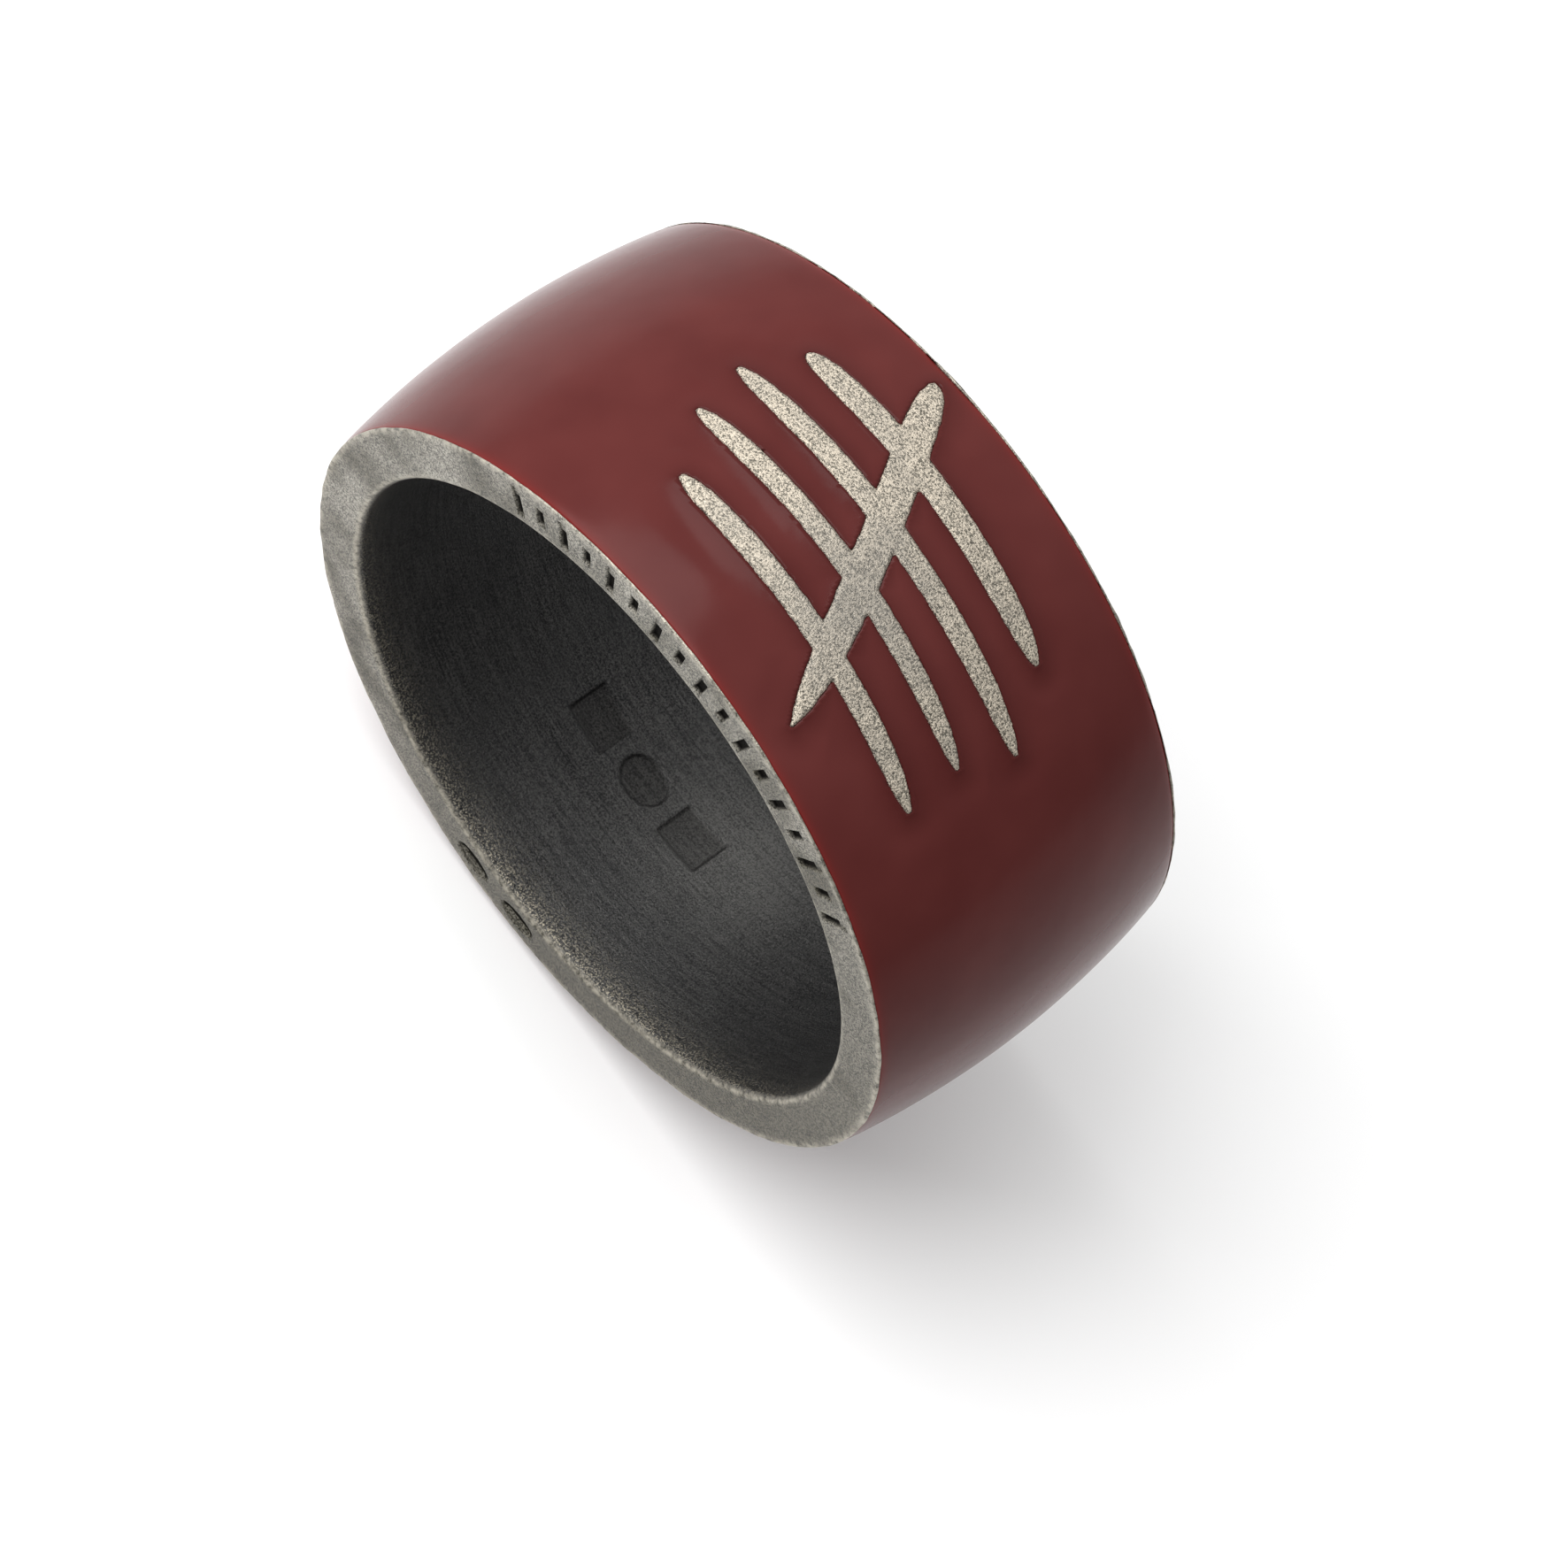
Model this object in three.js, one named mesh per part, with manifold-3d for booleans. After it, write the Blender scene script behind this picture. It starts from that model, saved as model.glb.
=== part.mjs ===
// A wide band ring: a cast silver band with a channel sunk all the way round it, a tally mark
// (four strokes and a slash) standing on the channel's floor, and one ring of enamel filling
// the channel around the tally. Millimetres. The finger hole runs along Y, the tally is on
// top, the engraved rim faces -Y, and the ring stands on z = 0.
import * as THREE from 'three';
import { mergeVertices } from 'three/addons/utils/BufferGeometryUtils.js';
import Module from 'manifold-3d';

// Band
const BORE_DIAMETER = 20;
const BAND_WIDTH = 10.8;
const RIM_WALL = 1.66; // band thickness at the rims
const BORE_EDGE_ROUND = 0.25; // eased edge that meets the finger
const RIM_EDGE_ROUND = 0.12;
const LIP_WIDTH = 0.16; // bare metal left between a rim and the enamel

// Enamel
const ENAMEL_THICKNESS = 0.6; // the channel's floor is crowned like the enamel above it
const CROWN_RISE = 0.54; // how far the enamel's middle stands above its edges
const CLEARANCE = 0.03; // between the band, the tally and the enamel
const STANDING_FLAT = 0.12; // depth of the flat that the ring stands on

// Tally
const STROKE_WIDTH = 0.72;
const STROKE_PITCH = 1.72;
const STROKE_LENGTH = 11.6;
const STROKE_DRIFT = 0.32; // how far a stroke strays toward the front rim along its length
const SLASH_WIDTH = 1.05;
const SLASH_RUN = 5.3; // how far the slash travels round the band
const SLASH_SHIFT = -0.32; // its middle's place round the band
const SLASH_LIFT = 0.25; // its middle's place toward the plain rim
const SLASH_BOW = 0.12;
const SLASH_MARGIN = 0.6; // mean width of the enamel between its ends and the lips
const TALLY_PROUD = 0.05; // height of the strokes above the enamel
const TIP_WIDTH = 0.14;
const STROKE_BLUNTNESS = 10; // the larger, the shorter the taper to the end of the stroke
const SLASH_BLUNTNESS = 7;

// Engraving
const DASH_COUNT = 17;
const DASH_SPAN = THREE.MathUtils.degToRad(78);
const DASH_WIDTH = 0.26;
const ENGRAVE_DEPTH = 0.15;
const OVAL_MARK_WIDTH = 1.3;
const OVAL_MARK_SPACING = THREE.MathUtils.degToRad(11);
const PUNCH_DEPTH = 0.12;
const PUNCH_SPACING = THREE.MathUtils.degToRad(12.5);

// Fineness of the facets
const SEGMENTS_ROUND = 96;
const SEGMENTS_CROWN = 8;
const STROKE_STATIONS = 16;
const ARC_DIVISIONS = 2;

const boreRadius = BORE_DIAMETER / 2;
const edgeRadius = boreRadius + RIM_WALL;
const crownTop = edgeRadius + CROWN_RISE;
const halfWidth = BAND_WIDTH / 2;
const fieldHalf = halfWidth - LIP_WIDTH;
const rimFaceWidth = RIM_WALL - BORE_EDGE_ROUND - RIM_EDGE_ROUND;
const rimFaceRadius = boreRadius + BORE_EDGE_ROUND + rimFaceWidth / 2;
const standHeight = crownTop - STANDING_FLAT;

// The four upright strokes, front to back. Each is shifted along its own length and bowed
// a little, as if scratched by hand. Shifts, lengths and bows are shares of STROKE_LENGTH,
// breadths are shares of STROKE_WIDTH.
const STROKES = [
  { shift: 0.052, length: 0.953, bow: 0.026, breadth: 0.95 },
  { shift: -0.015, length: 1.047, bow: 0.036, breadth: 0.92 },
  { shift: 0, length: 1.134, bow: 0.017, breadth: 0.98 },
  { shift: -0.039, length: 0.919, bow: 0.024, breadth: 1.14 },
];

const wasm = await Module();
wasm.setup();

function solidFrom(geometry) {
  geometry.deleteAttribute('normal');
  geometry.deleteAttribute('uv');
  const merged = mergeVertices(geometry);
  const mesh = new wasm.Mesh({
    numProp: 3,
    vertProperties: Float32Array.from(merged.attributes.position.array),
    triVerts: Uint32Array.from(merged.index.array),
  });
  return new wasm.Manifold(mesh);
}

function geometryFrom(solid) {
  const mesh = solid.getMesh();
  const geometry = new THREE.BufferGeometry();
  geometry.setAttribute('position', new THREE.BufferAttribute(mesh.vertProperties, 3));
  geometry.setIndex(new THREE.BufferAttribute(mesh.triVerts, 1));
  geometry.computeVertexNormals();
  return geometry;
}

// A lathe turns its profile about Y, which is already the finger hole's axis.
function turned(points) {
  return solidFrom(new THREE.LatheGeometry([...points, points[0]], SEGMENTS_ROUND));
}

// Outer radius of the enamel at a distance y from the middle of the band's width.
function crownRadius(y) {
  return edgeRadius + CROWN_RISE * (1 - (y / halfWidth) ** 2);
}

// Points across the band, from one side of the enamel field to the other, that stay at the
// same depth below the crown.
function crownLine(half, depth) {
  return Array.from({ length: SEGMENTS_CROWN + 1 }, (_, i) => {
    const y = half * ((2 * i) / SEGMENTS_CROWN - 1);
    return new THREE.Vector2(crownRadius(y) - depth, y);
  });
}

// Wraps a point of the flat layout round the band: x becomes distance round the crown.
function wrap(x, y, radius) {
  const angle = x / crownTop;
  return [Math.sin(angle) * radius, y, Math.cos(angle) * radius];
}

function bandBlank() {
  const rim = RIM_EDGE_ROUND;
  const bore = BORE_EDGE_ROUND;
  const profile = new THREE.Path();
  profile.moveTo(boreRadius + bore, -halfWidth);
  profile.absarc(edgeRadius - rim, rim - halfWidth, rim, -Math.PI / 2, 0);
  profile.lineTo(edgeRadius, -fieldHalf);
  crownLine(fieldHalf, ENAMEL_THICKNESS).forEach(({ x, y }) => profile.lineTo(x, y));
  profile.lineTo(edgeRadius, fieldHalf);
  profile.absarc(edgeRadius - rim, halfWidth - rim, rim, 0, Math.PI / 2);
  profile.absarc(boreRadius + bore, halfWidth - bore, bore, Math.PI / 2, Math.PI);
  profile.absarc(boreRadius + bore, bore - halfWidth, bore, Math.PI, 1.5 * Math.PI);
  return turned(profile.getPoints(ARC_DIVISIONS).slice(1));
}

// Plain dashes, long and short in turn, along the top of the front rim.
function rimDashes() {
  return Array.from({ length: DASH_COUNT }, (_, i) => {
    const length = rimFaceWidth * (i % 2 ? 0.45 : 0.75);
    const dash = new THREE.BoxGeometry(DASH_WIDTH, 2 * ENGRAVE_DEPTH, length);
    dash.translate(0, -halfWidth, rimFaceRadius);
    dash.rotateY(DASH_SPAN * (i / (DASH_COUNT - 1) - 0.5));
    return dash;
  });
}

// Two plain ovals at the bottom of the front rim.
function rimOvals() {
  return [-0.5, 0.5].map((place) => {
    const radius = rimFaceWidth * 0.28;
    const oval = new THREE.CylinderGeometry(radius, radius, 2 * ENGRAVE_DEPTH, 20);
    oval.scale(OVAL_MARK_WIDTH / (2 * radius), 1, 1);
    oval.translate(0, -halfWidth, rimFaceRadius);
    oval.rotateY(Math.PI + place * OVAL_MARK_SPACING);
    return oval;
  });
}

// Three blank punch marks inside the bore, opposite the tally: an oval between two squares.
function borePunches() {
  const size = BAND_WIDTH * 0.12;
  return [-1, 0, 1].map((place) => {
    const punch = place
      ? new THREE.BoxGeometry(size, size, 4 * PUNCH_DEPTH)
      : new THREE.CylinderGeometry(size / 2, size / 2, 4 * PUNCH_DEPTH, 24).rotateX(Math.PI / 2);
    punch.scale(1.25, place ? 1 : 0.9, 1);
    punch.translate(0, 0, boreRadius - PUNCH_DEPTH);
    punch.rotateY(Math.PI + place * PUNCH_SPACING);
    return punch;
  });
}

function silverBand() {
  const cutters = [...rimDashes(), ...rimOvals(), ...borePunches()];
  return cutters.reduce((band, cutter) => band.subtract(solidFrom(cutter)), bandBlank());
}

// A stroke in the flat layout: its centre line, bowed at the middle, its width and the
// bluntness of its end.
function bowedLine(start, end, bow, width, bluntness) {
  const bend = start.clone().add(end).multiplyScalar(0.5).add(bow);
  return { path: new THREE.QuadraticBezierCurve(start, bend, end), width, bluntness };
}

function tallyLines() {
  const lines = STROKES.map(({ shift, length, bow, breadth }, row) => {
    const y = (row - (STROKES.length - 1) / 2) * STROKE_PITCH;
    const middle = shift * STROKE_LENGTH;
    const half = (length * STROKE_LENGTH) / 2;
    const start = new THREE.Vector2(middle - half, y + STROKE_DRIFT / 2);
    const end = new THREE.Vector2(middle + half, y - STROKE_DRIFT / 2);
    const bend = new THREE.Vector2(0, bow * STROKE_LENGTH);
    return bowedLine(start, end, bend, breadth * STROKE_WIDTH, STROKE_BLUNTNESS);
  });
  const reach = fieldHalf - SLASH_MARGIN;
  const start = new THREE.Vector2(SLASH_SHIFT - SLASH_RUN / 2, SLASH_LIFT + reach);
  const end = new THREE.Vector2(SLASH_SHIFT + SLASH_RUN / 2, SLASH_LIFT - reach);
  const bend = new THREE.Vector2(2 * SLASH_BOW, 0);
  lines.push(bowedLine(start, end, bend, SLASH_WIDTH, SLASH_BLUNTNESS));
  return lines;
}

// Half the width of a stroke at t from 0 to 1: round where it starts, drawn out to its end.
function taper(t, width, bluntness) {
  const round = Math.sqrt(1 - (1 - t) ** 16);
  const drawnOut = (1 - t ** bluntness) ** (5 / bluntness);
  return Math.max(TIP_WIDTH, width * round * drawnOut) / 2;
}

// Lofts one stroke through four-cornered sections that follow the crown, from a depth below
// it to a height above it. grow widens and lengthens the stroke on every side.
function strokeSolid({ path, width, bluntness }, depth, height, grow) {
  const positions = [];
  const index = [];
  for (let i = 0; i <= STROKE_STATIONS; i += 1) {
    const t = (1 - Math.cos((Math.PI * i) / STROKE_STATIONS)) / 2;
    const along = path.getTangent(t);
    const centre = path.getPoint(t).addScaledVector(along, grow * (2 * t - 1));
    const half = taper(t, width, bluntness) + grow;
    const left = new THREE.Vector2(-along.y, along.x).multiplyScalar(half);
    const right = centre.clone().sub(left);
    left.add(centre);
    positions.push(...wrap(right.x, right.y, crownRadius(right.y) - depth));
    positions.push(...wrap(left.x, left.y, crownRadius(left.y) - depth));
    positions.push(...wrap(left.x, left.y, crownRadius(left.y) + height));
    positions.push(...wrap(right.x, right.y, crownRadius(right.y) + height));
  }
  for (let i = 0; i < STROKE_STATIONS; i += 1) {
    for (let side = 0; side < 4; side += 1) {
      const a = 4 * i + side;
      const b = 4 * i + ((side + 1) % 4);
      index.push(a, b, b + 4, a, b + 4, a + 4);
    }
  }
  const last = 4 * STROKE_STATIONS;
  index.push(0, 3, 2, 0, 2, 1);
  index.push(last, last + 1, last + 2, last, last + 2, last + 3);
  const geometry = new THREE.BufferGeometry();
  geometry.setAttribute('position', new THREE.Float32BufferAttribute(positions, 3));
  geometry.setIndex(index);
  return solidFrom(geometry);
}

function tally(depth, height, grow) {
  const strokes = tallyLines().map((line) => strokeSolid(line, depth, height, grow));
  return strokes.reduce((joined, stroke) => joined.add(stroke));
}

function tallyRelief() {
  return tally(ENAMEL_THICKNESS - CLEARANCE, TALLY_PROUD, 0);
}

// The enamel's ring, flattened underneath, with the tally's shape let through it.
function enamelField() {
  const half = fieldHalf - CLEARANCE;
  const underside = crownLine(half, ENAMEL_THICKNESS - CLEARANCE).reverse();
  const ring = turned([...crownLine(half, 0), ...underside]);
  const below = new THREE.BoxGeometry(2 * crownTop, 2 * BAND_WIDTH, crownTop);
  below.translate(0, 0, -standHeight - crownTop / 2);
  const window = tally(2 * ENAMEL_THICKNESS, ENAMEL_THICKNESS, CLEARANCE);
  return ring.subtract(solidFrom(below)).subtract(window);
}

function part(name, solid, material) {
  const geometry = geometryFrom(solid);
  geometry.translate(0, 0, standHeight);
  const mesh = new THREE.Mesh(geometry, new THREE.MeshStandardMaterial(material));
  mesh.name = name;
  return mesh;
}

const blastedSilver = { name: 'blasted_silver', color: 0x8f8a82, roughness: 0.55, metalness: 1 };
const tallySilver = { name: 'tally_silver', color: 0xcfc6b6, roughness: 0.6, metalness: 1 };
const redEnamel = { name: 'red_enamel', color: 0x4a1517, roughness: 0.12, metalness: 0 };

const tallyRing = new THREE.Group();
tallyRing.name = 'tally_band_ring';
tallyRing.add(part('silver_band', silverBand(), blastedSilver));
tallyRing.add(part('tally_relief', tallyRelief(), tallySilver));
tallyRing.add(part('enamel_field', enamelField(), redEnamel));

export default tallyRing;
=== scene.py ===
import math

import bmesh
import bpy
import numpy as np
from mathutils import Matrix, Vector, noise


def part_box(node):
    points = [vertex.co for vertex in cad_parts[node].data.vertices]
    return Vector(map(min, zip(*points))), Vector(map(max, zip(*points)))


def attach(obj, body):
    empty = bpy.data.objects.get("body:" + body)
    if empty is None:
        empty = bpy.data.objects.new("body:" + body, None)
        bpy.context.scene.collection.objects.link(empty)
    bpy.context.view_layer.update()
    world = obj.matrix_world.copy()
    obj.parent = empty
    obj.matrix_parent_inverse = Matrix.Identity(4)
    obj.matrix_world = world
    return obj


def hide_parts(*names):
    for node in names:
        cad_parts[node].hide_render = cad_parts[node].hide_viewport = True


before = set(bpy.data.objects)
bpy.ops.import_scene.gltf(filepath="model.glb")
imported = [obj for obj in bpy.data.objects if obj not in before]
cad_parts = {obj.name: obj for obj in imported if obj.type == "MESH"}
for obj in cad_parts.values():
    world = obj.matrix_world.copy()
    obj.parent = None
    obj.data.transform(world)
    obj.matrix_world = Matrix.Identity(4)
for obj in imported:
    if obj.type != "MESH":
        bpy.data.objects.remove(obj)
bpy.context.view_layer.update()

MM = 0.001

# Sizes that the frame gives
band_low, band_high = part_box("silver_band")
_, enamel_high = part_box("enamel_field")
CENTRE_Z = (band_low.z + band_high.z) / 2
EDGE_RADIUS = band_high.x
HALF_WIDTH = band_high.y
CROWN_TOP = enamel_high.x
CROWN_RISE = CROWN_TOP - EDGE_RADIUS

# Sizes that the frame's boxes don't give, as in the CAD model
ENAMEL_THICKNESS = 0.6 * MM
TALLY_PROUD = 0.05 * MM
STANDING_FLAT = 0.12 * MM
CAD_RIM_EDGE_ROUND = 0.12 * MM
BORE_EDGE_ROUND = 0.25 * MM
ENGRAVE_DEPTH = 0.15 * MM
PUNCH_DEPTH = 0.12 * MM
DASH_COUNT = 17
DASH_SPAN = math.radians(78)
DASH_WIDTH = 0.26 * MM
DASH_LENGTHS = (0.97 * MM, 0.58 * MM)
OVAL_MARK = (1.3 * MM, 0.72 * MM)
OVAL_MARK_SPACING = math.radians(11)
PUNCH_SIZE = (1.62 * MM, 1.3 * MM)
PUNCH_SPACING = math.radians(12.5)

# Finish
LIP_WIDTH = 0.06 * MM  # the enamel creeps over most of the CAD model's lip
ENAMEL_GAP = 0.01 * MM  # between the enamel and the lips
TALLY_DEPTH = 0.9 * ENAMEL_THICKNESS  # like the enamel, it stops short of the channel's floor
ENAMEL_DEPTH = 0.95 * ENAMEL_THICKNESS
RIM_EDGE_ROUND = 0.05 * MM
CUT_EDGE = 0.035 * MM  # half the width of an engraving's slanted wall
PUNCH_BLACKNESS = 0.32  # of the punches, where the engraving has 1
BAND_ROUGHNESS = 0.012 * MM
STROKE_RAGGEDNESS = 0.035 * MM
STROKE_EASE = (0.1 * MM, 0.07 * MM)  # width and depth of the strokes' eased edges
STROKE_PITS = 0.008 * MM
ENAMEL_CLIMB = (0.03 * MM, 0.12 * MM)  # height and width
ENAMEL_SAG = (0.05 * MM, 0.55 * MM, 0.45 * MM)  # depth, place and width, out from a stroke
ENAMEL_ROUNDING = (0.03 * MM, 0.12 * MM)  # depth and width, at the lips
ENAMEL_RIPPLE = (0.012 * MM, 3.2 * MM)  # height and length
PAINTED_LIGHT_SIDE = math.radians(-50)  # where the painted shade on the rims is lightest, as an angle from the top
RUB_AND_SHEEN_PLACE = (math.radians(158), 0.6 * MM)  # where the bore is brightest, partly rubbed wear and partly a painted sheen: angle and y
RUB_AND_SHEEN_SPREAD = (math.radians(17), 2.4 * MM)
CROSSING = (0.5 * MM, -1.1 * MM)  # where the slash crosses the strokes, in the flat layout
CROSSING_SPREAD = 2.3 * MM

# Fineness of the meshes
PLAIN_COLUMNS, TOP_COLUMNS, DASH_COLUMNS, PUNCH_COLUMNS = 0.8, 1.2, 7, 3.4  # per degree
TALLY_STEP = 0.045 * MM
TALLY_REACH = (6.6 * MM, 4.85 * MM)
TALLY_ZONE = 8 * MM  # the tally lies within this distance round the crown from the top
FAR = 3 * MM  # stands for every distance from the tally outside that zone
ENAMEL_STEP = 0.075 * MM
ENAMEL_WIDENING = (0.4 * MM, 6.8 * MM, 18 * MM)  # what the step gains, from where to where
ENAMEL_ROWS = 128
ENAMEL_EDGE = 0.3 * MM  # a strip at each lip with rows of its own

# Camera: the view of the ring, as angles round it and a distance from its middle
VIEW_AZIMUTH = math.radians(5.48)
VIEW_ELEVATION = math.radians(67.5)
VIEW_ROLL = math.radians(48)
VIEW_DISTANCE = 180 * MM
VIEW_SHIFT = (1.19 * MM, -2.66 * MM)
LENS = 150.1

# Light and stage
BRIGHT_SIDE = (-0.5, 0.35, 0.8)  # where the soft light of the room is strongest
ROOM_LIGHT = (0.25, 1)  # its strength on the dim side and towards the bright side
DIM_FROM = -0.2  # cosine of the angle from the bright side at which it stops falling
KEY_SIDE = (-0.55, -0.3, 0.8)
KEY_DISTANCE = 180 * MM
KEY_SIZE = 160 * MM
KEY_POWER = 0.36
FLOOR_RADIUS = 4

MESH_CENTRE = Vector((0, 0, CENTRE_Z))
FIELD_HALF = HALF_WIDTH - LIP_WIDTH - ENAMEL_GAP


def bore_radius():
    """The finger hole's radius: the CAD band's least distance from its own axis."""
    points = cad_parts["silver_band"].data.vertices
    return min(math.hypot(v.co.x, v.co.z - CENTRE_Z) for v in points)


BORE_RADIUS = bore_radius()
RIM_MIDDLE = (BORE_RADIUS + BORE_EDGE_ROUND + EDGE_RADIUS - CAD_RIM_EDGE_ROUND) / 2


def crown_radius(y):
    """Radius of the enamel's crowned surface at y across the band."""
    return EDGE_RADIUS + CROWN_RISE * (1 - (y / HALF_WIDTH) ** 2)


def wrapped(x, y, radius):
    """Points of the flat layout wrapped round the band: x is the distance round the crown."""
    angle = x / CROWN_TOP
    return np.stack([np.sin(angle) * radius, y, CENTRE_Z + np.cos(angle) * radius], axis=-1)


def smooth_step(value, low, high):
    """0 below low, 1 above high, and a smooth rise between them."""
    t = np.clip((value - low) / (high - low), 0, 1)
    return t * t * (3 - 2 * t)


def noise_at(points, size, seed):
    """Smooth noise from -1 to 1 at each point, with features of about this size."""
    offset = Vector((seed * 17.3, seed * 5.1, seed * 9.7))
    return np.array([noise.noise(Vector(p) / size + offset) for p in points])


def make_object(name, points, faces, node, attributes):
    """A piece that shows in place of a CAD node. Its attributes steer its material."""
    mesh = bpy.data.meshes.new(name)
    mesh.from_pydata(points.tolist(), [], faces.tolist())
    for key, values in attributes.items():
        layer = mesh.attributes.new(key, "FLOAT", "POINT")
        layer.data.foreach_set("value", np.asarray(values, np.float32))
    mesh.validate()
    mesh.shade_smooth()
    made = bpy.data.objects.new(name, mesh)
    bpy.context.scene.collection.objects.link(made)
    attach(made, "root")
    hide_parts(node)
    return made


# ---------------------------------------------------------------- the silver band


def line(start, end, steps):
    """Points from start up to, and without, end."""
    return [
        (start[0] + (end[0] - start[0]) * i / steps, start[1] + (end[1] - start[1]) * i / steps)
        for i in range(steps)
    ]


def arc(middle, radius, start, end, steps):
    """Points round an arc, from its start up to, and without, its end. Angles in degrees."""
    angles = [math.radians(start + (end - start) * i / steps) for i in range(steps)]
    return [(middle[0] + radius * math.cos(a), middle[1] + radius * math.sin(a)) for a in angles]


def band_profile():
    """The band's section as (radius, y) points, from the front rim's inner edge outwards, back
    over the channel to the far rim, and forwards through the bore."""
    w, b, e = HALF_WIDTH, BORE_EDGE_ROUND, RIM_EDGE_ROUND
    field = HALF_WIDTH - LIP_WIDTH
    inner, outer = BORE_RADIUS, EDGE_RADIUS
    floor = crown_radius(field) - ENAMEL_THICKNESS
    points = line((inner + b, -w), (outer - e, -w), 36)
    points += arc((outer - e, -w + e), e, -90, 0, 6)
    points += line((outer, -w + e), (outer, -field), 3)
    points += line((outer, -field), (floor, -field), 4)
    points += [(crown_radius(y) - ENAMEL_THICKNESS, y) for y in np.linspace(-field, field, 7)[:-1]]
    points += line((floor, field), (outer, field), 4)
    points += line((outer, field), (outer, w - e), 3)
    points += arc((outer - e, w - e), e, 0, 90, 6)
    points += line((outer - e, w), (inner + b, w), 12)
    points += arc((inner + b, w - b), b, 90, 180, 8)
    points += line((inner, w - b), (inner, PUNCH_SIZE[1]), 8)
    points += line((inner, PUNCH_SIZE[1]), (inner, -PUNCH_SIZE[1]), 44)
    points += line((inner, -PUNCH_SIZE[1]), (inner, -w + b), 8)
    points += arc((inner + b, -w + b), b, 180, 270, 8)
    return np.array(points)


def dash_angles():
    """Angles of the dashes, spread evenly about the top."""
    return [DASH_SPAN * (i / (DASH_COUNT - 1) - 0.5) for i in range(DASH_COUNT)]


def band_columns():
    """Angles round the band, close together where it is engraved or punched."""
    degrees = 0.02
    fine = np.radians(np.arange(-180, 180, degrees))
    density = np.full(fine.shape, PLAIN_COLUMNS)
    density[np.abs(fine) < DASH_SPAN / 2 + 0.03] = TOP_COLUMNS
    for middle in dash_angles():
        density[np.abs(fine - middle) < 0.75 * DASH_WIDTH / RIM_MIDDLE] = DASH_COLUMNS
    density[math.pi - np.abs(fine) < 1.75 * PUNCH_SPACING] = PUNCH_COLUMNS
    total = np.cumsum(density) * degrees
    return np.interp(np.arange(0.5, total[-1]), total, fine)


def box_depth(x, y, size):
    """1 inside a rectangle of this size, falling to 0 outside it over its slanted wall."""
    outside = np.maximum(np.abs(x) - size[0] / 2, np.abs(y) - size[1] / 2)
    return 1 - smooth_step(outside, -CUT_EDGE, CUT_EDGE)


def oval_depth(x, y, size):
    """1 inside an oval of this size, falling to 0 outside it over its slanted wall."""
    share = np.hypot(2 * x / size[0], 2 * y / size[1])
    return 1 - smooth_step((share - 1) * size[1] / 2, -CUT_EDGE, CUT_EDGE)


def turned_from(angle, middle):
    """Angles measured from middle, from -pi to pi."""
    return (angle - middle + math.pi) % (2 * math.pi) - math.pi


def rim_engraving(angle, radius):
    """How deep the front rim is cut, from 0 to 1: the dashes on top and the two ovals below."""
    cut = np.zeros(angle.shape)
    for i, middle in enumerate(dash_angles()):
        round_way = np.tan(np.clip(turned_from(angle, middle), -1, 1)) * radius
        size = (DASH_WIDTH, DASH_LENGTHS[i % 2])
        cut = np.maximum(cut, box_depth(round_way, radius - RIM_MIDDLE, size))
    for side in (-0.5, 0.5):
        round_way = turned_from(angle, math.pi + side * OVAL_MARK_SPACING) * RIM_MIDDLE
        cut = np.maximum(cut, oval_depth(round_way, radius - RIM_MIDDLE, OVAL_MARK))
    return cut


def bore_punches(angle, y):
    """How deep the bore is punched, from 0 to 1: a blank oval between two blank squares."""
    cut = np.zeros(angle.shape)
    for place in (-1, 0, 1):
        round_way = turned_from(angle, math.pi + place * PUNCH_SPACING) * BORE_RADIUS
        shape = box_depth if place else oval_depth
        cut = np.maximum(cut, shape(round_way, y, PUNCH_SIZE))
    return cut


def band_attributes(profile, angles, recess):
    """What steers the band's material: engraved, worn, inside the bore, rubbed with a painted
    sheen, painted lit side, scuffed.
    """
    from_bore_edge = np.hypot(profile[:, 0] - BORE_RADIUS, HALF_WIDTH - np.abs(profile[:, 1]))
    worn = np.exp(-((from_bore_edge - 0.12 * MM) / (0.09 * MM)) ** 2)
    from_rim_edge = np.hypot(profile[:, 0] - EDGE_RADIUS, HALF_WIDTH - np.abs(profile[:, 1]))
    worn = worn + np.exp(-(from_rim_edge / (0.16 * MM)) ** 2)
    in_hole = 1 - smooth_step(profile[:, 0], BORE_RADIUS, BORE_RADIUS + 0.5 * BORE_EDGE_ROUND)
    into_bore = np.clip(HALF_WIDTH - np.abs(profile[:, 1]) - 0.2 * MM, 0, None)
    scuffed = in_hole * np.exp(-into_bore / (0.4 * MM))
    # painted sheen, partly real rubbing: a paler patch inside the bore
    from_rub_and_sheen = turned_from(angles, RUB_AND_SHEEN_PLACE[0])[:, None] / RUB_AND_SHEEN_SPREAD[0]
    across = (profile[None, :, 1] - RUB_AND_SHEEN_PLACE[1]) / RUB_AND_SHEEN_SPREAD[1]
    every = np.ones((len(angles), len(profile)))
    return {
        "recess": recess.ravel(),
        "worn": (np.clip(worn, 0, 1)[None] * every).ravel(),
        "bore": (in_hole[None] * every).ravel(),
        "rub_and_sheen": (in_hole[None] * np.exp(-(from_rub_and_sheen**2) - across**2)).ravel(),
        # painted shade: 1 on the rims' lit side, falling to 0 on the far side
        "painted_lit_side": (0.5 + 0.5 * np.cos(angles - PAINTED_LIGHT_SIDE)[:, None] * every).ravel(),
        "scuffed": (scuffed[None] * (0.5 - 0.5 * np.cos(angles))[:, None]).ravel(),
    }


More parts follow.
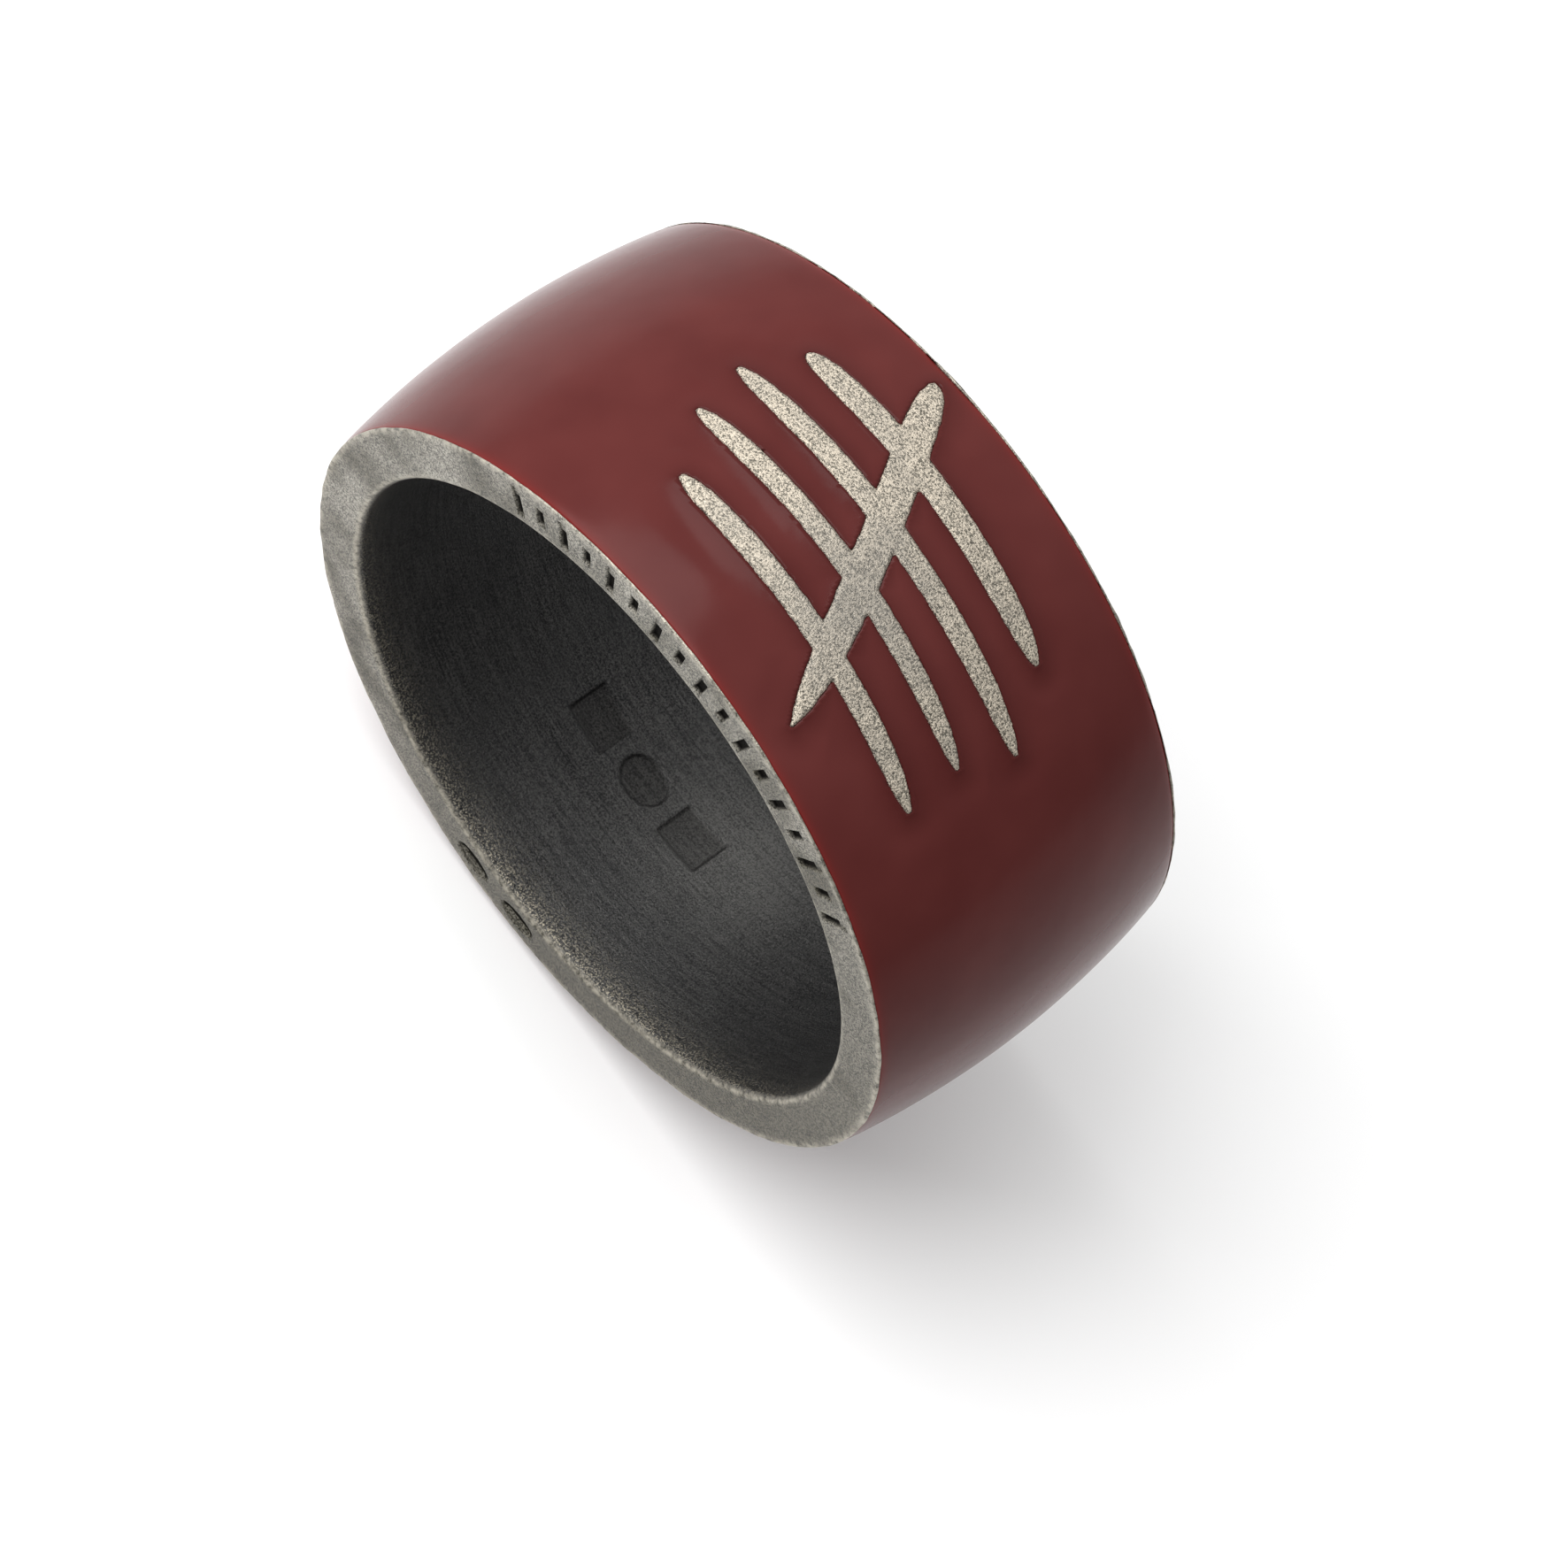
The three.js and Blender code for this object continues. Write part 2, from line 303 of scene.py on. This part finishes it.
def silver_band():
    """The band: its section swept round, with its engraving, punches and uneven surface."""
    profile = band_profile()
    angles = band_columns()
    rows, columns = len(profile), len(angles)
    ahead = np.roll(profile, -1, axis=0) - np.roll(profile, 1, axis=0)
    normal = np.stack([ahead[:, 1], -ahead[:, 0]], axis=-1)
    normal /= np.linalg.norm(normal, axis=1)[:, None]
    angle = np.repeat(angles[:, None], rows, axis=1)
    radius = np.repeat(profile[None, :, 0], columns, axis=0)
    y = np.repeat(profile[None, :, 1], columns, axis=0)

    on_front = (y < -HALF_WIDTH + 1e-7) & (radius > BORE_RADIUS + BORE_EDGE_ROUND - 1e-7)
    in_bore = radius < BORE_RADIUS + 1e-7
    engraved = np.where(on_front, rim_engraving(angle, radius), 0)
    punched = np.where(in_bore, bore_punches(angle, y), 0)
    depth = engraved * ENGRAVE_DEPTH + punched * PUNCH_DEPTH

    places = np.stack([np.sin(angle) * radius, y, np.cos(angle) * radius], axis=-1).reshape(-1, 3)
    rough = noise_at(places, 0.9 * MM, 1) + 0.5 * noise_at(places, 0.3 * MM, 2)
    edge = np.exp(-((radius - EDGE_RADIUS) / (0.14 * MM)) ** 2)
    depth = depth - rough.reshape(depth.shape) * BAND_ROUGHNESS * (0.4 + 1.6 * edge)

    radius = radius - normal[None, :, 0] * depth
    y = y - normal[None, :, 1] * depth
    points = np.stack([np.sin(angle) * radius, y, CENTRE_Z + np.cos(angle) * radius], axis=-1)

    index = np.arange(rows * columns).reshape(columns, rows)
    right = np.roll(index, -1, axis=0)
    up = np.roll(index, -1, axis=1)
    both = np.roll(right, -1, axis=1)
    faces = np.stack([index, right, both, up], axis=-1).reshape(-1, 4)
    attributes = band_attributes(profile, angles, np.maximum(engraved, PUNCH_BLACKNESS * punched))
    points = points.reshape(-1, 3)
    return make_object("band", points, faces, "silver_band", attributes)


# ---------------------------------------------------------------- the tally's outline


def tally_outline():
    """The CAD tally's outline in the flat layout: the edges where its top meets its sides."""
    bm = bmesh.new()
    bm.from_mesh(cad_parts["tally_relief"].data)
    bmesh.ops.remove_doubles(bm, verts=bm.verts, dist=1e-6)

    def is_top(face):
        """Whether the face belongs to a stroke's top, or to a step where two tops cross."""
        rises = [math.hypot(v.co.x, v.co.z - CENTRE_Z) - crown_radius(v.co.y) for v in face.verts]
        return min(rises) > -0.5 * ENAMEL_THICKNESS

    def flat(vert):
        return (math.atan2(vert.co.x, vert.co.z - CENTRE_Z) * CROWN_TOP, vert.co.y)

    edges = [
        [flat(v) for v in edge.verts]
        for edge in bm.edges
        if len({is_top(face) for face in edge.link_faces}) == 2
    ]
    bm.free()
    return np.array(edges)


OUTLINE = tally_outline()


def tally_distance(x, y):
    """Distance of each layout point from the tally's outline, negative inside the strokes."""
    points = np.stack([x.ravel(), y.ravel()], axis=-1)
    near = np.full(len(points), 1.0)
    inside = np.zeros(len(points), bool)
    for start, end in OUTLINE:
        along = end - start
        away = points - start
        share = np.clip(away @ along / max(along @ along, 1e-18), 0, 1)
        near = np.minimum(near, np.hypot(*(away - share[:, None] * along).T))
        if start[1] != end[1]:
            crosses = (start[1] > points[:, 1]) != (end[1] > points[:, 1])
            where = start[0] + (points[:, 1] - start[1]) * along[0] / along[1]
            inside ^= crosses & (points[:, 0] < where)
    return np.where(inside, -near, near).reshape(x.shape)


def rough_distance(x, y):
    """The distance from a tally whose edges are ragged, as blasted metal's are."""
    flat = np.stack([x.ravel(), y.ravel(), np.zeros(x.size)], axis=-1)
    ragged = 0.6 * noise_at(flat, 0.34 * MM, 3) + 0.4 * noise_at(flat, 0.11 * MM, 4)
    return tally_distance(x, y) + STROKE_RAGGEDNESS * ragged.reshape(x.shape)


# ---------------------------------------------------------------- plates on the crown


def snapped(x, y, distance, chosen, field):
    """Moves the chosen grid points onto the line where the distance is nought."""
    step = 0.01 * MM
    for _ in range(2):
        px, py = x[chosen], y[chosen]
        here = field(px, py)
        slope_x = (field(px + step, py) - here) / step
        slope_y = (field(px, py + step) - here) / step
        size = np.maximum(slope_x**2 + slope_y**2, 0.3)
        x[chosen] = px - here * slope_x / size
        y[chosen] = py - here * slope_y / size
    distance[chosen] = 0


def crown_plate(xs, ys, side, closed, top, bottom):
    """A closed plate over a grid on the crown, kept where side times the tally distance is
    positive. top gives its outer radii from x, y and the distance, and bottom its inner radii
    from y. closed joins its ends."""
    x, y = (a.copy() for a in np.meshgrid(xs, ys, indexing="ij"))
    distance = np.full(x.shape, FAR)
    near = np.abs(x) < TALLY_ZONE
    distance[near] = rough_distance(x[near], y[near])
    mean = (distance + np.roll(distance, -1, 0)) / 2
    mean = ((mean + np.roll(mean, -1, 1)) / 2)[:, :-1]
    keep = side * mean > 0
    if not closed:
        keep[-1] = False
    padded = np.pad(keep, ((0, 0), (1, 1)))
    around = [np.roll(padded, (i, j), (0, 1)) for i in (0, 1) for j in (0, 1)]
    around = np.array([a[:, 1:] for a in around])
    touched, whole = around.any(0), around.all(0)
    inner_rows = np.zeros(x.shape, bool)
    inner_rows[:, 1:-1] = True
    snapped(x, y, distance, touched & ~whole & inner_rows, rough_distance)

    count = x.size
    index = np.arange(count).reshape(x.shape)
    right = np.roll(index, -1, 0)
    corners = np.stack([index[:, :-1], right[:, :-1], right[:, 1:], index[:, 1:]], axis=-1)
    tops = corners[keep]
    faces = [tops, tops[:, ::-1] + count]
    neighbours = (
        np.roll(padded, 1, 1)[:, 1:-1],
        np.roll(keep, -1, 0),
        np.roll(padded, -1, 1)[:, 1:-1],
        np.roll(keep, 1, 0),
    )
    for i, beside in enumerate(neighbours):
        open_side = corners[keep & ~beside]
        a, b = open_side[:, i], open_side[:, (i + 1) % 4]
        faces.append(np.stack([a, a + count, b + count, b], axis=-1))
    points = np.concatenate(
        [wrapped(x, y, top(x, y, distance)), wrapped(x, y, bottom(y))]
    ).reshape(-1, 3)
    faces = np.concatenate(faces)
    used, flat_faces = np.unique(faces, return_inverse=True)
    depth = np.concatenate([distance.ravel(), distance.ravel()])[used]
    return points[used], flat_faces.reshape(-1, 4), depth


# ---------------------------------------------------------------- the tally


def tally_top(x, y, distance):
    """The strokes' tops: flat, eased at their edges and pitted by the blasting."""
    inside = np.clip(-distance, 0, None)
    width, deep = STROKE_EASE
    eased = deep * np.clip(1 - inside / width, 0, 1) ** 2
    flat = np.stack([x.ravel(), y.ravel(), np.zeros(x.size)], axis=-1)
    pits = noise_at(flat, 0.12 * MM, 5) + 0.8 * noise_at(flat, 0.5 * MM, 6)
    return crown_radius(y) + TALLY_PROUD - eased + STROKE_PITS * pits.reshape(x.shape)


def tally_strokes():
    """The tally's strokes and slash, as one plate."""
    xs, ys = (np.arange(-reach, reach, TALLY_STEP) for reach in TALLY_REACH)

    def bottom(y):
        return crown_radius(y) - TALLY_DEPTH

    points, faces, _ = crown_plate(xs, ys, -1, False, tally_top, bottom)
    from_crossing = np.hypot(points[:, 0] - CROSSING[0], points[:, 1] - CROSSING[1])
    attributes = {"grey": np.exp(-((from_crossing / CROSSING_SPREAD) ** 2))}
    return make_object("tally", points, faces, "tally_relief", attributes)


# ---------------------------------------------------------------- the enamel


def enamel_top(x, y, distance):
    """The enamel's surface: it climbs the strokes' sides, sags between them, rounds over at
    the lips and carries a slow ripple."""
    climb = ENAMEL_CLIMB[0] * np.exp(-np.abs(distance) / ENAMEL_CLIMB[1])
    sag_depth, sag_place, sag_width = ENAMEL_SAG
    sag = sag_depth * np.exp(-(((distance - sag_place) / sag_width) ** 2))
    to_lip = FIELD_HALF - np.abs(y)
    rounding = ENAMEL_ROUNDING[0] * np.exp(-to_lip / ENAMEL_ROUNDING[1])
    places = wrapped(x, y, CROWN_TOP).reshape(-1, 3)
    ripple = ENAMEL_RIPPLE[0] * noise_at(places, ENAMEL_RIPPLE[1], 7).reshape(x.shape)
    surface = crown_radius(y) + climb - sag - rounding + ripple
    to_ground = CROWN_TOP - STANDING_FLAT
    below = np.cos(x / CROWN_TOP) * surface + to_ground < 0
    return np.where(below, to_ground / -np.cos(x / CROWN_TOP), surface)


def enamel_columns():
    """Places round the crown, close together where the tally is and ever wider apart from it."""
    turn = 2 * math.pi * CROWN_TOP
    samples = 20000
    fine = np.linspace(-turn / 2, turn / 2, samples + 1)
    gain, start, end = ENAMEL_WIDENING
    spacing = ENAMEL_STEP + gain * smooth_step(np.abs(fine), start, end)
    count = np.cumsum(turn / samples / spacing)
    whole = int(count[-1])
    return np.interp(np.arange(0.5, whole) * count[-1] / whole, count, fine)


def enamel_coat():
    """The enamel: a ring in the band's channel, with a window where the tally comes through."""
    edge = FIELD_HALF - ENAMEL_EDGE
    rim = np.linspace(FIELD_HALF, edge, 7)
    ys = np.concatenate([-rim, np.linspace(-edge, edge, ENAMEL_ROWS)[1:-1], rim[::-1]])

    def bottom(y):
        return crown_radius(y) - ENAMEL_DEPTH

    points, faces, distance = crown_plate(enamel_columns(), ys, 1, True, enamel_top, bottom)
    to_lip = FIELD_HALF - np.abs(points[:, 1])
    attributes = {
        # steers the painted shade beside the strokes
        "shade_near_tally": np.exp(-np.abs(distance) / (0.26 * MM)),
        "near_lip": np.exp(-np.abs(to_lip) / (0.1 * MM)),
    }
    return make_object("enamel", points, faces, "enamel_field", attributes)


# ---------------------------------------------------------------- materials


SILVER_PITS = (0.07, 0.067, 0.058, 1)
SILVER_PEAKS = (0.51, 0.485, 0.425, 1)
# patina, also used for the painted shade on the rims
PATINA_AND_SHADE = (0.38, 0.372, 0.34, 1)
WORN_SILVER = (0.5, 0.465, 0.39, 1)
BORE_PITS = (0.023, 0.023, 0.024, 1)
BORE_PEAKS = (0.105, 0.103, 0.1, 1)
BORE_SMOKE = (0.055, 0.055, 0.055, 1)
# the bore's paler patch: rubbed wear and a painted sheen
BORE_RUB_AND_SHEEN = (0.16, 0.157, 0.15, 1)
BORE_SCUFFED = (0.42, 0.38, 0.3, 1)
RECESS_BLACK = (0.024, 0.022, 0.02, 1)
TALLY_PITS = (0.13, 0.119, 0.097, 1)
TALLY_PEAKS = (0.69, 0.62, 0.515, 1)
TALLY_TARNISH = (0.2, 0.194, 0.182, 1)
RED_DEEP = (0.084, 0.0172, 0.016, 1)
RED_LIGHT = (0.102, 0.0225, 0.0207, 1)
RED_THIN = (0.21, 0.018, 0.016, 1)
# painted shade beside the strokes
RED_IN_PAINTED_SHADE = (0.035, 0.004, 0.0035, 1)
FLOOR_DULL = (0.965, 0.965, 0.965, 1)
FLOOR_PALE = (0.98, 0.98, 0.98, 1)


class Material:
    """A material with one Principled shader, whose nodes are added in millimetres."""

    def __init__(self, name, **settings):
        self.made = bpy.data.materials.new(name)
        self.made.use_nodes = True
        self.tree = self.made.node_tree
        self.shader = self.tree.nodes["Principled BSDF"]
        for key, value in settings.items():
            self.shader.inputs[key.replace("_", " ")].default_value = value
        scaled = self.add("ShaderNodeVectorMath", operation="SCALE")
        self.put(self.add("ShaderNodeTexCoord").outputs["Object"], scaled.inputs[0])
        scaled.inputs["Scale"].default_value = 1 / MM
        self.place = scaled.outputs[0]

    def add(self, kind, inputs=None, **settings):
        """A new node. inputs gives its sockets numbers or other nodes' outputs."""
        made = self.tree.nodes.new(kind)
        for key, value in settings.items():
            setattr(made, key, value)
        for key, value in (inputs or {}).items():
            self.put(value, made.inputs[key])
        return made

    def put(self, value, socket):
        if isinstance(value, bpy.types.NodeSocket):
            self.tree.links.new(value, socket)
        else:
            socket.default_value = value

    def math(self, operation, a, b, clamp=False):
        """One Math node's result, from numbers or other nodes' outputs."""
        made = self.add("ShaderNodeMath", {0: a, 1: b}, operation=operation, use_clamp=clamp)
        return made.outputs[0]

    def noise(self, scale, detail=3.0, stretch=(1, 1, 1), rough=0.55):
        """Noise with about this many waves to a millimetre, times stretch along each axis."""
        place = self.place
        if stretch != (1, 1, 1):
            inputs = {0: place, 1: stretch}
            place = self.add("ShaderNodeVectorMath", inputs, operation="MULTIPLY").outputs[0]
        inputs = {"Vector": place, "Scale": scale, "Detail": detail, "Roughness": rough}
        return self.add("ShaderNodeTexNoise", inputs).outputs["Fac"]

    def attribute(self, name):
        """A value that the mesh carries at each of its points."""
        return self.add("ShaderNodeAttribute", attribute_name=name).outputs["Fac"]

    def spread(self, value, low, high, to_low=0.0, to_high=1.0):
        """The range from low to high moved onto another, and held at its ends beyond them."""
        inputs = {"Value": value, "From Min": low, "From Max": high}
        inputs |= {"To Min": to_low, "To Max": to_high}
        return self.add("ShaderNodeMapRange", inputs).outputs["Result"]

    def mix(self, share, a, b, blend="MIX"):
        """Two colours mixed: a where share is 0, and b, or the blend of both, where it is 1."""
        made = self.add("ShaderNodeMix", {0: share}, data_type="RGBA", blend_type=blend)
        self.put(a, made.inputs[6])
        self.put(b, made.inputs[7])
        return made.outputs[2]

    def bump(self, height, distance):
        inputs = {"Height": height, "Distance": distance}
        return self.add("ShaderNodeBump", inputs).outputs["Normal"]

    def finish(self, color, roughness, normal):
        """Joins the last results to the shader."""
        self.put(color, self.shader.inputs["Base Color"])
        self.put(roughness, self.shader.inputs["Roughness"])
        self.put(normal, self.shader.inputs["Normal"])
        return self.made


def blasted_silver():
    """Sand-blasted silver, blackened in the engraving and in the bore, which is finely scratched
    and paler in one place, partly rubbed and partly a painted sheen, and worn bright along its
    edges. The rims carry painted shade, darker the farther they turn from their lit side."""
    m = Material("blasted_silver", Metallic=1.0)
    fine = m.noise(17, detail=2, rough=0.8)
    coarse = m.noise(4.5, detail=3)
    patches = m.noise(0.4, detail=2)
    grain = m.math("ADD", m.math("MULTIPLY", fine, 0.85), m.math("MULTIPLY", coarse, 0.15))
    silver = m.mix(m.spread(grain, 0.41, 0.59), SILVER_PITS, SILVER_PEAKS)
    # painted shade: the rims darken away from their lit side; the random patches are real patina
    painted_shade = m.spread(m.attribute("painted_lit_side"), 1, 0)
    patina_and_shade = m.math("MAXIMUM", m.spread(patches, 0.35, 0.65), painted_shade)
    toned = m.mix(patina_and_shade, silver, PATINA_AND_SHADE, "MULTIPLY")
    uneven = m.spread(coarse, 0.35, 0.6, 0.1, 0.8)
    worn = m.math("MULTIPLY", m.attribute("worn"), uneven, clamp=True)
    toned = m.mix(worn, toned, WORN_SILVER)

    scratches = m.noise(1.0, detail=3, stretch=(0.7, 14, 0.7), rough=0.6)
    speckle = m.noise(16, detail=2, rough=0.8)
    lines = m.math("ADD", m.math("MULTIPLY", speckle, 0.7), m.math("MULTIPLY", scratches, 0.3))
    black = m.mix(m.spread(lines, 0.4, 0.62), BORE_PITS, BORE_PEAKS)
    black = m.mix(m.spread(patches, 0.4, 0.65, 0, 0.35), black, BORE_SMOKE)
    streaks = m.spread(lines, 0.42, 0.58, 0.35, 1)
    # painted sheen, partly rubbed wear: the bore paler in one patch
    sheen_and_rubs = m.math("MULTIPLY", m.attribute("rub_and_sheen"), streaks, clamp=True)
    black = m.mix(sheen_and_rubs, black, BORE_RUB_AND_SHEEN)
    scuffs = m.math("MULTIPLY", m.attribute("scuffed"), m.spread(fine, 0.5, 0.62), clamp=True)
    black = m.mix(scuffs, black, BORE_SCUFFED)
    color = m.mix(m.attribute("bore"), toned, black)
    recess = m.spread(m.attribute("recess"), 0.15, 0.8)
    color = m.mix(recess, color, RECESS_BLACK)

    roughness = m.spread(fine, 0.3, 0.7, 0.34, 0.52)
    roughness = m.math("ADD", roughness, m.math("MULTIPLY", recess, 0.45), clamp=True)
    heights = m.math("ADD", grain, m.math("MULTIPLY", scratches, 0.15))
    return m.finish(color, roughness, m.bump(heights, 0.04 * MM))


def tally_silver():
    """Pale silver with an open, coarse grain, greyest where the slash crosses the strokes."""
    m = Material("tally_silver", Metallic=1.0)
    fine = m.noise(17, detail=2, rough=0.8)
    coarse = m.noise(5, detail=3)
    patches = m.noise(0.7, detail=2)
    grain = m.math("ADD", m.math("MULTIPLY", fine, 0.85), m.math("MULTIPLY", coarse, 0.15))
    silver = m.mix(m.spread(grain, 0.41, 0.55), TALLY_PITS, TALLY_PEAKS)
    blotches = m.spread(patches, 0.48, 0.68, 0, 0.35)
    tarnish = m.math("ADD", blotches, m.attribute("grey"), clamp=True)
    silver = m.mix(m.math("MULTIPLY", tarnish, 0.5), silver, TALLY_TARNISH)
    roughness = m.spread(fine, 0.3, 0.7, 0.42, 0.68)
    return m.finish(silver, roughness, m.bump(grain, 0.05 * MM))


def red_enamel():
    """Glossy opaque red enamel, brighter where it thins out at the lips, with shade painted
    darker where it meets the tally."""
    m = Material("red_enamel", IOR=1.17)
    clouds = m.noise(0.35, detail=2)
    red = m.mix(m.spread(clouds, 0.3, 0.7), RED_DEEP, RED_LIGHT)
    thin = m.math("MULTIPLY", m.attribute("near_lip"), 0.6, clamp=True)
    red = m.mix(thin, red, RED_THIN)
    # painted shade: the red darkened beside the strokes, where the enamel dips in shade
    edge = m.math("MULTIPLY", m.attribute("shade_near_tally"), 0.45, clamp=True)
    red = m.mix(edge, red, RED_IN_PAINTED_SHADE)
    specks = m.noise(9, detail=2)
    roughness = m.spread(specks, 0.55, 0.75, 0.19, 0.26)
    return m.finish(red, roughness, m.bump(m.noise(0.9, detail=1), 0.01 * MM))


def white_floor():
    """Matt white, with a faint unevenness."""
    m = Material("white_floor", Specular_IOR_Level=0.2)
    cloud = m.noise(0.02, detail=1)
    color = m.mix(cloud, FLOOR_DULL, FLOOR_PALE)
    return m.finish(color, 0.8, m.bump(cloud, 0.01 * MM))


# ---------------------------------------------------------------- stage, light and camera


def make_floor():
    """A plain round floor at the level that the ring stands on."""
    mesh = bpy.data.meshes.new("floor")
    bm = bmesh.new()
    bmesh.ops.create_circle(bm, cap_ends=True, segments=96, radius=FLOOR_RADIUS)
    bm.to_mesh(mesh)
    bm.free()
    floor = bpy.data.objects.new("floor", mesh)
    bpy.context.scene.collection.objects.link(floor)
    floor.data.materials.append(white_floor())


def key_softbox():
    """A square area light that faces the ring."""
    light = bpy.data.lights.new("key_softbox", "AREA")
    light.shape = "RECTANGLE"
    light.size = light.size_y = KEY_SIZE
    light.energy = KEY_POWER
    lamp = bpy.data.objects.new("key_softbox", light)
    way = Vector(KEY_SIDE).normalized()
    lamp.location = MESH_CENTRE + way * KEY_DISTANCE
    lamp.rotation_euler = way.to_track_quat("Z", "Y").to_euler()
    bpy.context.scene.collection.objects.link(lamp)


def studio_dome():
    """A world that is brightest towards BRIGHT_SIDE and falls off smoothly all round it."""
    world = bpy.data.worlds.new("studio")
    world.use_nodes = True
    tree = world.node_tree
    way = tree.nodes.new("ShaderNodeTexCoord").outputs["Generated"]
    toward = tree.nodes.new("ShaderNodeVectorMath")
    toward.operation = "DOT_PRODUCT"
    toward.inputs[1].default_value = Vector(BRIGHT_SIDE).normalized()
    strength = tree.nodes.new("ShaderNodeMapRange")
    strength.interpolation_type = "SMOOTHSTEP"
    ranges = {"From Min": DIM_FROM, "From Max": 1, "To Min": ROOM_LIGHT[0], "To Max": ROOM_LIGHT[1]}
    for key, value in ranges.items():
        strength.inputs[key].default_value = value
    tree.links.new(way, toward.inputs[0])
    tree.links.new(toward.outputs["Value"], strength.inputs["Value"])
    tree.links.new(strength.outputs["Result"], tree.nodes["Background"].inputs["Strength"])
    tree.nodes["Background"].inputs["Color"].default_value = (1, 1, 1, 1)
    return world


def make_camera():
    """The camera looks down on the ring from its front, turned about its own line of sight."""
    camera = bpy.data.objects.new("camera", bpy.data.cameras.new("camera"))
    camera.data.lens = LENS
    camera.data.sensor_width = 36
    camera.data.clip_start = 0.01
    away = Vector((
        math.cos(VIEW_ELEVATION) * math.sin(VIEW_AZIMUTH),
        -math.cos(VIEW_ELEVATION) * math.cos(VIEW_AZIMUTH),
        math.sin(VIEW_ELEVATION),
    ))
    turn = away.to_track_quat("Z", "Y").to_matrix() @ Matrix.Rotation(VIEW_ROLL, 3, "Z")
    offset = turn @ Vector((*VIEW_SHIFT, 0))
    camera.location = MESH_CENTRE + away * VIEW_DISTANCE + offset
    camera.rotation_euler = turn.to_euler()
    bpy.context.scene.collection.objects.link(camera)
    bpy.context.scene.camera = camera


silver_band().data.materials.append(blasted_silver())
tally_strokes().data.materials.append(tally_silver())
enamel_coat().data.materials.append(red_enamel())
make_floor()
bpy.context.scene.world = studio_dome()
key_softbox()
make_camera()
bpy.context.scene.view_settings.view_transform = "Standard"
